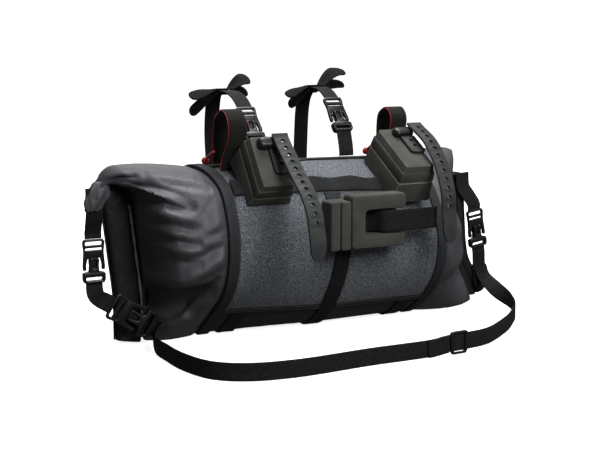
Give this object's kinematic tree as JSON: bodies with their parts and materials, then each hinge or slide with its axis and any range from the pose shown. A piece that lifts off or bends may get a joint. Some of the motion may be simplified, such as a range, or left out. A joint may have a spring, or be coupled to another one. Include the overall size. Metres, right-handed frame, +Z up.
{
  "type": "bicycle handlebar bag",
  "caption": "Roll-ended dry bag in a grey and black cloth harness, with straps for a handlebar, foam spacer blocks and a shoulder strap.",
  "frame": {"origin": "flat underside of the harness, in the middle of its centre webbing, on the surface that the bag rests on", "axes": "+X along the bag towards the end with the folded roll, -Y towards the side with the foam blocks, +Z up"},
  "size_m": [0.5549, 0.3306, 0.307],
  "materials": {
    "coated_cloth": "coated dry-bag cloth, soft sheen",
    "speckled_cloth": "speckled grey-blue woven pack cloth, matte",
    "black_cloth": "black woven pack cloth, matte",
    "webbing": "woven nylon webbing and binding tape",
    "buckle_plastic": "moulded black plastic, fine grain",
    "foam": "closed-cell foam, matte",
    "rubber": "moulded grey rubber, matte",
    "red_cord": "braided red cord with moulded ends"
  },
  "bodies": {
    "root": {"dry_bag": "coated_cloth", "roll_left": "coated_cloth", "roll_right": "coated_cloth", "grey_panel": "speckled_cloth", "back_panel": "black_cloth", "base_panel": "black_cloth", "block_front_left": "foam", "block_front_right": "foam", "block_rear_left": "foam", "block_rear_right": "foam", "head_tube_pad": "foam", "rubber_base_left": "rubber", "rubber_base_right": "rubber", "rubber_tail_left": "rubber", "rubber_tail_right": "rubber", "bar_buckle_left_plug": "buckle_plastic", "bar_buckle_left_socket": "buckle_plastic", "bar_buckle_right_plug": "buckle_plastic", "bar_buckle_right_socket": "buckle_plastic", "end_buckle_left_plug": "buckle_plastic", "end_buckle_left_socket": "buckle_plastic", "end_buckle_right_plug": "buckle_plastic", "end_buckle_right_socket": "buckle_plastic", "keeper_left": "buckle_plastic", "keeper_right": "buckle_plastic", "shoulder_buckle_plug": "buckle_plastic", "shoulder_buckle_socket": "buckle_plastic", "strap_adjuster": "buckle_plastic", "red_pull_left": "red_cord", "red_pull_right": "red_cord", "bar_strap_end_left": "webbing", "bar_strap_end_right": "webbing", "bar_strap_left": "webbing", "bar_strap_right": "webbing", "base_edge_binding_left": "webbing", "base_edge_binding_right": "webbing", "base_strap_left": "webbing", "base_strap_right": "webbing", "binding_left": "webbing", "binding_right": "webbing", "centre_webbing": "webbing", "daisy_webbing": "webbing", "end_strap_left": "webbing", "end_strap_left_lower": "webbing", "end_strap_right": "webbing", "end_strap_right_lower": "webbing", "grip_wing_left_lower": "webbing", "grip_wing_left_upper": "webbing", "grip_wing_right_lower": "webbing", "grip_wing_right_upper": "webbing", "hanger_loop_left": "webbing", "hanger_loop_right": "webbing", "pad_strap": "webbing", "roll_tab_left": "webbing", "shoulder_strap": "webbing", "strap_sewn_end": "webbing", "top_edge_binding": "webbing", "webbing_tab": "webbing"}
  },
  "joints": []
}
